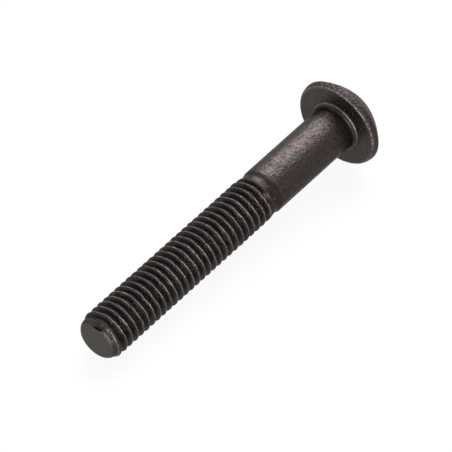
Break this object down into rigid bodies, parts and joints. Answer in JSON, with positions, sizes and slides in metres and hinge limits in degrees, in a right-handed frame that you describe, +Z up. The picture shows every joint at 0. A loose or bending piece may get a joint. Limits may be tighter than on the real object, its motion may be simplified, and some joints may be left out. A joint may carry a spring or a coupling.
{
  "type": "button head socket screw",
  "caption": "Low domed-head machine screw with a hexagon socket, a plain shank under the head and a rolled thread to a rounded point.",
  "frame": {"origin": "centre of the head's bearing face, where the plane of the face meets the screw's axis", "axes": "the screw lies at rest: -X runs from the head toward the point, dipped by the 3.7 degree rest angle; +Z up"},
  "size_m": [0.0382, 0.0094, 0.0093],
  "materials": {
    "steel": "black oxide on hardened alloy steel, satin, lightly oiled"
  },
  "bodies": {
    "root": {"button_screw": "steel"}
  },
  "joints": []
}
